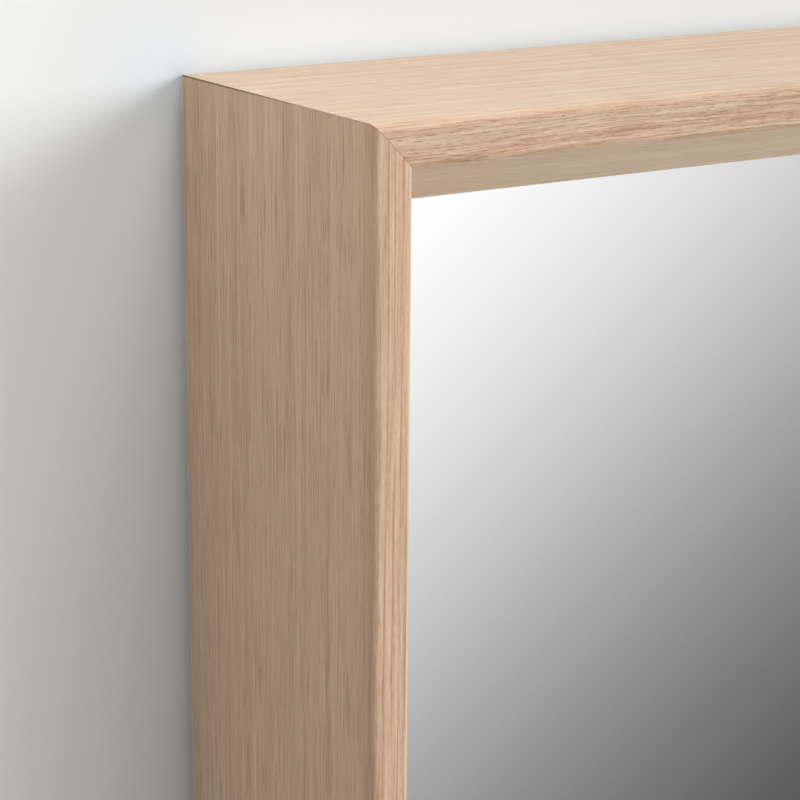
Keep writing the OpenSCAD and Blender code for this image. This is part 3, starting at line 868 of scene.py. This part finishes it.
rubber, w, shader = new_finish("black_rubber", Specular_IOR_Level=0.4)
p = mm_place(w)
bloom = w.ramp(w.noise(w.stretch(p, (9, 4, 3)), 4.0), -0.05, 0.25)
pits = w.noise(w.stretch(p, (0.5, 0.5, 0.5)), 3.0)
black = w.mix(w.times(bloom, 0.5), linear(36, 36, 38), linear(84, 84, 86))
sheen = w.plus(0.62, w.times(bloom, 0.2))
connect(w, shader, Base_Color=black, Roughness=sheen, Normal=w.bump(pits, 0.05))
dress(rubber, "setting_blocks")

# %% [markdown]
# Brackets, hanger plates and screws are steel with a thin coat of zinc. Zinc is bluish and never quite
# even: it has soft patches from the bath, fine drawing lines along the sheet, and a duller, darker
# skin where it was handled. Metal takes its look from what it mirrors, so most of this goes into the
# roughness, not the colour.

# %% Zinc-plated steel
def zinc_finish(name, lines_along, polish):
    material, w, shader = new_finish(name, Metallic=1.0)
    p = mm_place(w)
    patches = w.noise(w.stretch(p, (7, 7, 7)), 3.0)
    lines = w.noise(w.stretch(p, lines_along), 2.0)
    dull = w.ramp(w.noise(w.stretch(p, (2.5, 2.5, 2.5)), 4.0), 0.02, 0.3)
    coat = w.mix(w.plus(0.5, w.times(patches, 1.8)), linear(182, 187, 197), linear(202, 201, 194))
    coat = w.mix(w.times(dull, 0.5), coat, linear(150, 152, 156))
    sheen = w.plus(polish, w.times(patches, 0.2), w.times(lines, 0.25), w.times(dull, 0.12))
    scratches = w.bump(w.plus(lines, w.times(dull, -0.3)), 0.012)
    connect(w, shader, Base_Color=coat, Roughness=sheen, Normal=scratches)
    return material


drawn_steel = zinc_finish("zinc_drawn_steel", (14, 0.35, 0.35), 0.34)
screw_steel = zinc_finish("zinc_screw_steel", (0.6, 0.6, 0.6), 0.28)
sheet_pieces = ("bracket_top", "bracket_bottom", "hanger_plate")
dress(drawn_steel, *[name for name in nodes if name.startswith(sheet_pieces)])

# %% [markdown]
# The frame holds 44 countersunk screws with a cross recess. The solids show where each one sits and
# how long it is, but as plain pins. One screw is made for each node, whose pins are all of one length.
# A turned profile gives head and neck, and a shank whose radius rises and falls with a helix gives the
# thread. The thread's crest is as wide as the plain pin, so it just fills its hole. Everything about
# the screw is in mm.

# %% Head, neck and thread of a screw
HEAD_R, HEAD_H, HEAD_EDGE, NECK_R, TIP = 3.0, 1.5, 0.12, 1.32, 3.0
ROOT_R, CREST_R, THREAD_STEP = 1.0, 1.5, 1.4
SIDES = 16
ROWS_PER_TURN = 5


def ring_of(bm, z, radius):
    """A loop of points at height z. The radius is a number, or a rule that gives it for an angle."""
    points = []
    for i in range(SIDES):
        angle = 2 * math.pi * i / SIDES
        r = radius(angle) if callable(radius) else radius
        points.append(bm.verts.new((r * math.cos(angle), r * math.sin(angle), z)))
    return points


def thread_radius(length, z):
    """The rule for the shank's radius at height z: a ridge that goes round once per step."""
    def radius(angle):
        turn = (z / THREAD_STEP - angle / (2 * math.pi)) % 1
        ridge = max(0.0, 1 - abs(turn - 0.5) / 0.32)
        taper = min(1.0, max(0.03, (length - z) / TIP))
        return (ROOT_R + (CREST_R - ROOT_R) * ridge) * taper
    return radius


def turned_loops(bm, length):
    """All loops of the screw, from its rim to its tip."""
    loops = [ring_of(bm, 0.0, HEAD_R - HEAD_EDGE), ring_of(bm, HEAD_EDGE, HEAD_R)]
    loops += [ring_of(bm, HEAD_H + 0.15, NECK_R), ring_of(bm, HEAD_H + 0.7, NECK_R)]
    shank = length - HEAD_H - 1.0
    rows = int(shank / (THREAD_STEP / ROWS_PER_TURN))
    for row in range(rows + 1):
        z = HEAD_H + 1.0 + row * shank / rows
        loops.append(ring_of(bm, z, thread_radius(length, z)))
    return loops


print("thread of", THREAD_STEP, "mm a turn,", SIDES, "points round")

# %% [markdown]
# The recess is a cross that narrows as it goes down and ends in a point. It could be cut with a
# boolean, but twelve outline points and a fill give cleaner faces. The head's face is then filled
# between its rim and the mouth of the cross.

# %% Recess, and the whole screw
CROSS_REACH, CROSS_HALF, CROSS_DEPTH = (1.75, 0.95), (0.42, 0.28), (0.0, 0.95, 1.3)


def cross_loop(bm, reach, half_width, z):
    quarter = ((reach, -half_width), (reach, half_width), (half_width, half_width))
    turns = [(math.cos(k * math.pi / 2), math.sin(k * math.pi / 2)) for k in range(4)]
    return [bm.verts.new((c * x - s * y, s * x + c * y, z)) for c, s in turns for x, y in quarter]


def join_loops(bm, lower, upper):
    for i in range(len(lower)):
        j = (i + 1) % len(lower)
        bm.faces.new((lower[i], lower[j], upper[j], upper[i]))


def make_screw(length):
    """A screw along +Z in mm, its head face at zero."""
    bm = bmesh.new()
    loops = turned_loops(bm, length)
    for lower, upper in zip(loops, loops[1:]):
        join_loops(bm, lower, upper)
    bm.faces.new(loops[-1])
    mouth, foot = [cross_loop(bm, *step) for step in zip(CROSS_REACH, CROSS_HALF, CROSS_DEPTH)]
    join_loops(bm, mouth, foot)
    point = bm.verts.new((0, 0, CROSS_DEPTH[2]))
    for i in range(len(foot)):
        bm.faces.new((foot[i], foot[(i + 1) % len(foot)], point))
    edges = []
    for loop in (loops[0], mouth):
        edges += [bm.edges.get((loop[i], loop[(i + 1) % len(loop)])) for i in range(len(loop))]
    bmesh.ops.triangle_fill(bm, edges=edges, use_beauty=True)
    bmesh.ops.recalc_face_normals(bm, faces=bm.faces)
    mesh = bpy.data.meshes.new(f"screw_{round(length)}")
    bm.to_mesh(mesh)
    bm.free()
    return mesh


print("cross recess", CROSS_DEPTH[2], "mm deep in a head", 2 * HEAD_R, "mm wide")

# %% [markdown]
# Each solid screw node is many pins in one mesh. They are told apart by walking from point to
# neighbour. A pin's long side is its direction, and the end with more points is its head, because the
# tip is a single point. Blender can also split a mesh into its loose parts, but the solids' own meshes
# have to stay as they are.

# %% Places of the screws
def loose_parts(bm):
    """Lists the points of each part that hangs together, in mm."""
    left, parts = set(bm.verts), []
    while left:
        stack, part = [left.pop()], []
        while stack:
            vert = stack.pop()
            part.append(1000 * vert.co)
            for edge in vert.link_edges:
                other = edge.other_vert(vert)
                if other in left:
                    left.remove(other)
                    stack.append(other)
        parts.append(part)
    return parts


def measure_pin(points):
    """The middle of a pin's head, its direction and its length."""
    low = Vector([min(p[i] for p in points) for i in range(3)])
    high = Vector([max(p[i] for p in points) for i in range(3)])
    size = high - low
    axis = max(range(3), key=lambda i: size[i])
    at_high = sum(1 for p in points if p[axis] > high[axis] - 0.01)
    at_low = sum(1 for p in points if p[axis] < low[axis] + 0.01)
    end, way = (high, -1) if at_high > at_low else (low, 1)
    head = (low + high) / 2
    head[axis] = end[axis]
    return head, Vector([way if i == axis else 0 for i in range(3)]), size[axis]


def pins_of(node):
    bm = bmesh.new()
    bm.from_mesh(nodes[node].data)
    bmesh.ops.remove_doubles(bm, verts=bm.verts, dist=1e-6)
    pins = [measure_pin(part) for part in loose_parts(bm)]
    bm.free()
    return sorted(pins, key=lambda pin: tuple(round(c, 1) for c in pin[0]))


screw_nodes = ("batten_screws", "bracket_screws", "rail_screws", "hanger_screws")
pins_in = {node: pins_of(node) for node in screw_nodes}
for node, pins in pins_in.items():
    print(node, "holds", len(pins), "pins of", sorted({round(pin[2], 1) for pin in pins}), "mm")

# %% [markdown]
# The new screws take the places of the pins. Each is turned further than the last, as screws in a
# frame stop at different angles, and sunk by a hair, so that no head stands proud. All screws of a
# node become one piece, which replaces that node.

# %% Drive the screws
SUNK = 0.04
TURN_ON = 2.4
SHARP = math.radians(38)


def drive_screws(node, pins):
    screw = make_screw(pins[0][2] - SUNK)
    bm = bmesh.new()
    for number, (head, way, length) in enumerate(pins):
        first = len(bm.verts)
        bm.from_mesh(screw)
        bm.verts.ensure_lookup_table()
        turn = Matrix.Rotation(TURN_ON * number, 4, "Z")
        upright = way.to_track_quat("Z", "Y").to_matrix().to_4x4()
        stand = Matrix.Translation((head + SUNK * way) / 1000) @ upright
        bmesh.ops.transform(bm, matrix=stand @ turn @ Matrix.Scale(0.001, 4), verts=bm.verts[first:])
    mesh = bpy.data.meshes.new(node + "_driven")
    bm.to_mesh(mesh)
    bm.free()
    mesh.materials.append(screw_steel)
    mesh.polygons.foreach_set("use_smooth", [True] * len(mesh.polygons))
    mesh.set_sharp_from_angle(angle=SHARP)
    piece = bpy.data.objects.new(node + "_driven", mesh)
    bpy.context.collection.objects.link(piece)
    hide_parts(node)
    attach(piece, "root")
    print(node, len(pins), "screws of", round(pins[0][2], 1), "mm,", len(mesh.vertices), "points")


for node, pins in pins_in.items():
    drive_screws(node, pins)

# %% [markdown]
# Last, the box of the finished mirror is measured again, and how far it has grown beyond the box of the
# solids is printed: no finish is meant to make the mirror larger.

# %% Size of the finished mirror
low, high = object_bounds()
print("grown by", [round(1000 * g, 2) for g in (high - low) - (cad_high - cad_low)], "mm")
